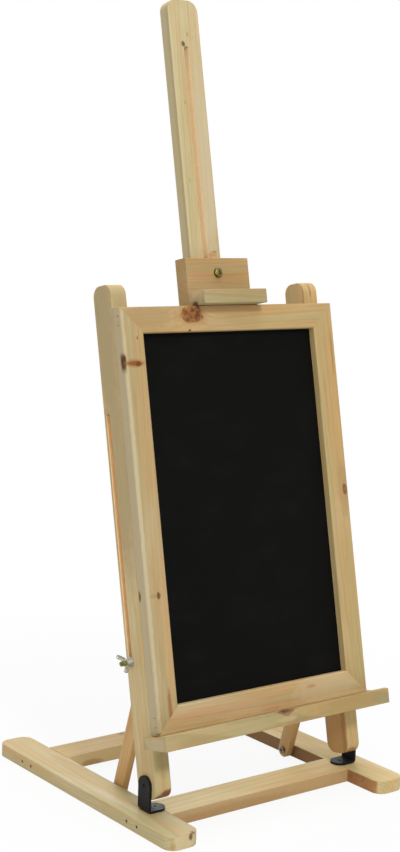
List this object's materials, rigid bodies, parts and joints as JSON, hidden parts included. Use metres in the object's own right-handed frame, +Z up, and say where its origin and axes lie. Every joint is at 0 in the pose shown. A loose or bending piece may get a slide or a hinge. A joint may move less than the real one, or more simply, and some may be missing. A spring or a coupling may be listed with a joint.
{
  "type": "tabletop easel",
  "caption": "Leaning tabletop easel with a chalkboard: slotted uprights on a flat base, folding rear struts, a ledge and a sliding top clamp on a slotted mast.",
  "frame": {"origin": "on the table, at the centre of the rectangle that the base covers", "axes": "+X to the right of someone who faces the board, +Y to the rear, +Z up"},
  "size_m": [0.3, 0.314, 0.7959],
  "materials": {
    "pine": "sanded bare pine, satin",
    "dowel_beech": "plain turned beech",
    "chalk_surface": "matte black chalkboard paint on thin board",
    "black_steel": "satin black powder coat on steel",
    "zinc_steel": "dull bright zinc plating",
    "yellow_zinc_steel": "yellow zinc plating",
    "nail_steel": "dull bare steel"
  },
  "bodies": {
    "base": {"left_runner": "pine", "right_runner": "pine", "front_cross_rail": "pine", "rear_cross_rail": "pine", "base_nails": "nail_steel", "left_hinge_bracket": "black_steel", "right_hinge_bracket": "black_steel", "bracket_foot_screws": "black_steel", "strut_foot_screws": "zinc_steel"},
    "frame": {"left_upright": "pine", "right_upright": "pine", "upper_crossbar": "pine", "lower_crossbar": "pine", "crossbar_dowels": "dowel_beech", "ledge": "pine", "ledge_dowels": "dowel_beech", "board_top_rail": "pine", "board_bottom_rail": "pine", "board_left_stile": "pine", "board_right_stile": "pine", "chalk_panel": "chalk_surface", "board_corner_pins": "nail_steel", "mast_bolt": "yellow_zinc_steel", "mast_washer": "zinc_steel", "hinge_screws": "black_steel"},
    "mast": {"mast": "pine"},
    "clamp": {"clamp_block": "pine", "clamp_lip": "pine", "clamp_bolt": "yellow_zinc_steel", "clamp_washer": "zinc_steel"},
    "left_strut": {"left_strut": "pine", "left_strut_bolt_head": "yellow_zinc_steel"},
    "right_strut": {"right_strut": "pine", "right_strut_bolt_head": "yellow_zinc_steel"},
    "left_slot_bolt": {"left_strut_bolt_thread": "yellow_zinc_steel", "left_strut_washer": "zinc_steel"},
    "right_slot_bolt": {"right_strut_bolt_thread": "yellow_zinc_steel", "right_strut_washer": "zinc_steel"},
    "left_strut_wing_nut": {"left_strut_wing_nut": "zinc_steel"},
    "right_strut_wing_nut": {"right_strut_wing_nut": "zinc_steel"},
    "mast_wing_nut": {"mast_wing_nut": "zinc_steel"},
    "clamp_wing_nut": {"clamp_wing_nut": "zinc_steel"}
  },
  "joints": [
    {"name": "frame_tilt", "type": "hinge", "parent": "base", "child": "frame", "pos_m": [0, -0.09, 0.0402], "axis": [-1, 0, 0], "range_deg": [0, 78]},
    {"name": "left_strut_swing", "type": "hinge", "parent": "base", "child": "left_strut", "pos_m": [-0.10865, -0.015, 0.0082], "axis": [-1, 0, 0], "range_deg": [0, 97.5]},
    {"name": "left_slot_slide", "type": "slide", "parent": "frame", "child": "left_slot_bolt", "axis": [0, 0.2028, 0.9792], "range_m": [0, 0.1075]},
    {"name": "left_wing_nut_turn", "type": "hinge", "parent": "left_slot_bolt", "child": "left_strut_wing_nut", "pos_m": [-0.134, -0.05883, 0.15323], "axis": [-1, 0, 0], "range_deg": [0, 450]},
    {"name": "right_strut_swing", "type": "hinge", "parent": "base", "child": "right_strut", "pos_m": [0.10865, -0.015, 0.0082], "axis": [-1, 0, 0], "range_deg": [0, 97.5]},
    {"name": "right_slot_slide", "type": "slide", "parent": "frame", "child": "right_slot_bolt", "axis": [0, 0.2028, 0.9792], "range_m": [0, 0.1075]},
    {"name": "right_wing_nut_turn", "type": "hinge", "parent": "right_slot_bolt", "child": "right_strut_wing_nut", "pos_m": [0.134, -0.05883, 0.15323], "axis": [1, 0, 0], "range_deg": [0, 450]},
    {"name": "mast_slide", "type": "slide", "parent": "frame", "child": "mast", "axis": [0, 0.2028, 0.9792], "range_m": [-0.23, 0]},
    {"name": "mast_wing_nut_turn", "type": "hinge", "parent": "frame", "child": "mast_wing_nut", "pos_m": [0, 0.01226, 0.45508], "axis": [0, 0.9792, -0.2028], "range_deg": [0, 450]},
    {"name": "clamp_slide", "type": "slide", "parent": "frame", "child": "clamp", "axis": [0, 0.2028, 0.9792], "range_m": [0, 0.23]},
    {"name": "clamp_wing_nut_turn", "type": "hinge", "parent": "clamp", "child": "clamp_wing_nut", "pos_m": [0, 0.02503, 0.51677], "axis": [0, 0.9792, -0.2028], "range_deg": [0, 450]}
  ],
  "couplings": [
    {"joint": "left_strut_swing", "follows": "frame_tilt", "ratio": 1.2449},
    {"joint": "left_slot_slide", "follows": "frame_tilt", "m_per_rad": 0.078815},
    {"joint": "right_strut_swing", "follows": "frame_tilt", "ratio": 1.2449},
    {"joint": "right_slot_slide", "follows": "frame_tilt", "m_per_rad": 0.078815}
  ]
}
